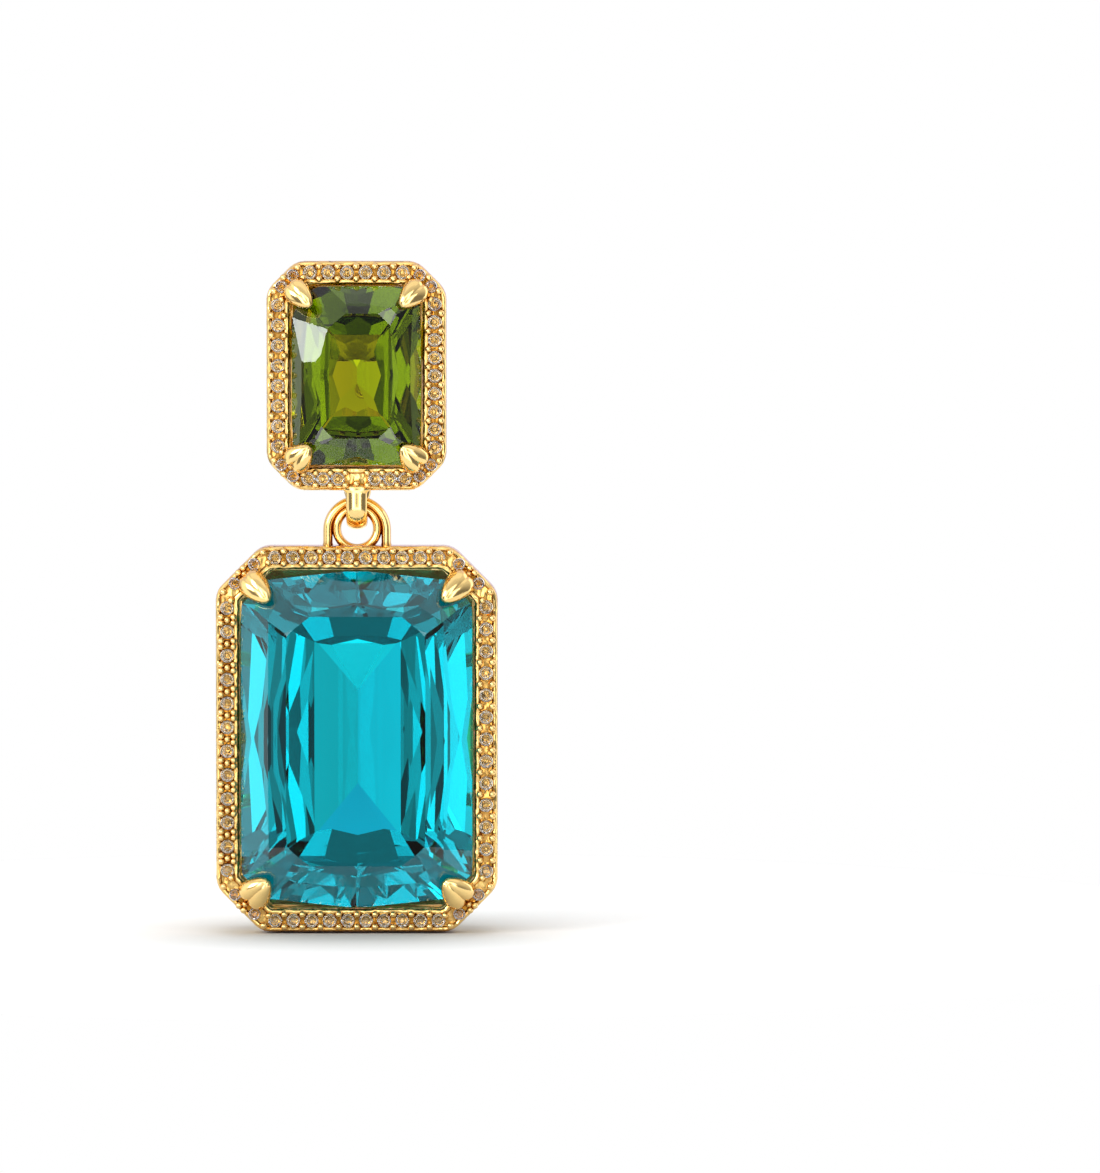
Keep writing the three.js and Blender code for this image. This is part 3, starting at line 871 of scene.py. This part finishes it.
bm = bmesh.new()
bmesh.ops.create_circle(bm, cap_ends=True, segments=64, radius=FLOOR_RADIUS)
move(bm, (0, 0, (DROP["middle"] - DROP["height"] / 2) * MM - FLOOR_GAP))
mesh = bpy.data.meshes.new("floor")
bm.to_mesh(mesh)
bm.free()
mesh.materials.append(paper("floor_paper", (0.99, 0.99, 0.99), (0.6, 0.59, 0.57), 0.7))
floor = bpy.data.objects.new("floor", mesh)
bpy.context.scene.collection.objects.link(floor)
print("floor", 2 * FLOOR_RADIUS, "m across")

# %% [markdown]
# ## A studio painted on the sky
# A photographer puts a small object in a tent of white cloth and hangs bright panels around it.
# Here the tent is the world: each panel is a soft-edged rectangle in one direction of the sky, so
# it leaves no edge where the floor ends. Polished gold and cut stones then reflect bright panels and
# the dimmer cloth between them, which gives them their shape. The camera and the floor see plain
# white instead, through Light Path.

# %% Helpers to paint on the sky
world = bpy.data.worlds.new("studio")
bpy.context.scene.world = world
world.use_nodes = True
tent = world.node_tree
sky = tent.nodes.new("ShaderNodeTexCoord").outputs["Generated"]


def along(direction):
    node = tent.nodes.new("ShaderNodeVectorMath")
    node.operation = "DOT_PRODUCT"
    feed(tent, node.inputs[0], sky)
    feed(tent, node.inputs[1], direction)
    return node.outputs["Value"]


def fade(value, start, end):
    node = add(tent, "MapRange", {"Value": value, "From Min": start, "From Max": end})
    node.interpolation_type = "SMOOTHSTEP"
    return node.outputs["Result"]


def panel(total, azimuth, height, wide, tall, edge, colour):
    turn, lift = radians(azimuth), radians(height)
    out = Vector((sin(turn) * cos(lift), -cos(turn) * cos(lift), sin(lift)))
    side = Vector((cos(turn), sin(turn), 0))
    up = side.cross(-out).normalized()
    depth = maths(tent, "MAXIMUM", along(out), 0.001)
    shape = fade(depth, 0.01, 0.08)
    for axis, half in ((side, wide), (up, tall)):
        off = maths(tent, "ABSOLUTE", maths(tent, "DIVIDE", along(axis), depth))
        shape = maths(tent, "MULTIPLY", shape, fade(off, half + edge, half - edge))
    return blend(tent, shape, total, (*colour, 1))


# %% [markdown]
# ## The panels
# Each row places one panel: its azimuth and height in degrees, seen from the earring, with 0 towards
# the camera and 180 behind; then half its width and height and its soft edge, as tangents of angles;
# then its colour. Panels in front show in the gold and light the stones' steep facets, and those
# behind shine through the shallow ones. A later panel covers an earlier one.

# %% Hang the panels
PANELS = dict(
    lilac_back=(180, 35, 1.2, 0.75, 0.12, (0.9, 0.78, 0.96)),
    dark_bar_back=(180, 31, 0.5, 0.1, 0.04, (0.12, 0.12, 0.12)),
    low_strip_back=(180, -17, 0.3, 0.08, 0.04, (1.8, 1.8, 1.8)),
    cool_back_left=(-160, 0, 0.13, 0.6, 0.04, (1.0, 1.02, 1.1)),
    warm_back_right=(160, 0, 0.13, 0.6, 0.04, (1.0, 0.8, 0.8)),
    left_wall=(-87, 5, 0.34, 0.7, 0.12, (1.3, 1.3, 1.3)),
    right_wall=(115, 10, 0.2, 0.7, 0.12, (2.0, 2.0, 2.0)),
    ceiling=(0, 82, 0.8, 0.36, 0.12, (1.1, 1.1, 1.1)),
    soft_front=(0, 0, 0.6, 0.6, 0.2, (1.4, 1.45, 1.4)),
    dim_column=(0, 0, 0.12, 0.5, 0.05, (0.75, 0.8, 0.75)),
    strip_right=(23, 0, 0.09, 0.6, 0.04, (3.6, 3.6, 3.6)),
    strip_left=(-21, 0, 0.14, 0.6, 0.05, (3.8, 3.8, 3.8)),
    bar_above=(0, 28, 0.7, 0.1, 0.03, (2.6, 2.6, 2.6)),
    bar_below=(0, -27, 0.6, 0.15, 0.04, (2.8, 2.8, 2.8)),
    key_lamp=(-53, 22, 0.22, 0.23, 0.05, (7.5, 7.4, 7.2)),
    lamp_core=(-53, 14, 0.09, 0.09, 0.03, (9.0, 9.6, 9.2)),
    lens_shade=(-1.5, -2.3, 0.06, 0.06, 0.02, (0.15, 0.15, 0.15)),
)
LOW_CLOTH, HIGH_CLOTH = (0.22, 0.22, 0.22), (0.8, 0.8, 0.8)
light = ramp(tent, fade(along((0, 0.45, 0.89)), -1.0, 1.0), [(0.3, LOW_CLOTH), (0.8, HIGH_CLOTH)])
for place in PANELS.values():
    light = panel(light, *place)
feed(tent, tent.nodes["Background"].inputs["Color"], light)
white = add(tent, "Background", {"Color": (1, 1, 1, 1), "Strength": 1.0})
path = tent.nodes.new("ShaderNodeLightPath")
plain_ray = maths(tent, "MAXIMUM", path.outputs["Is Camera Ray"], path.outputs["Is Diffuse Ray"])
choose = add(tent, "MixShader", {"Fac": plain_ray})
tent.links.new(tent.nodes["Background"].outputs["Background"], choose.inputs[1])
tent.links.new(white.outputs["Background"], choose.inputs[2])
tent.links.new(choose.outputs["Shader"], tent.nodes["World Output"].inputs["Surface"])
print(len(PANELS), "panels hang in the tent")

# %% [markdown]
# ## The camera
# The camera looks almost straight at the earring through a long lens, as in a catalogue. Two pixel
# places in the photograph, the earring's middle line and the lower edge of its upper frame, say
# where the picture's middle falls on the earring. Light bends many times inside a cut stone, so the
# render is allowed many bounces.

# %% Set up the camera
PIXELS_PER_MM = 16.8
PHOTO_WIDE, PHOTO_TALL = 1100, 1173
EARRING_COLUMN, UPPER_FRAME_ROW = 356.5, 490.5
SENSOR = 36.0
DISTANCE = 0.45
AIM_Y = -0.0045
LOOK_DOWN = radians(2.5)
centre_x = (PHOTO_WIDE / 2 - EARRING_COLUMN) / PIXELS_PER_MM * MM
centre_z = (UPPER_BOTTOM - (PHOTO_TALL / 2 - UPPER_FRAME_ROW) / PIXELS_PER_MM) * MM
lens = bpy.data.cameras.new("camera")
lens.sensor_fit = "VERTICAL"
lens.sensor_height = SENSOR
lens.sensor_width = SENSOR
lens.lens = SENSOR * DISTANCE / (PHOTO_TALL / PIXELS_PER_MM * MM)
lens.clip_start, lens.clip_end = 0.01, 20
camera = bpy.data.objects.new("camera", lens)
aim = Vector((centre_x, AIM_Y, centre_z))
camera.location = aim + Vector((0, -cos(LOOK_DOWN), sin(LOOK_DOWN))) * DISTANCE
camera.rotation_euler = (aim - camera.location).to_track_quat("-Z", "Y").to_euler()

scene = bpy.context.scene
scene.collection.objects.link(camera)
scene.camera = camera
scene.view_settings.view_transform = "Standard"
scene.cycles.max_bounces = 24
scene.cycles.transmission_bounces = 24
scene.cycles.glossy_bounces = 12
print("lens", round(lens.lens), "mm")
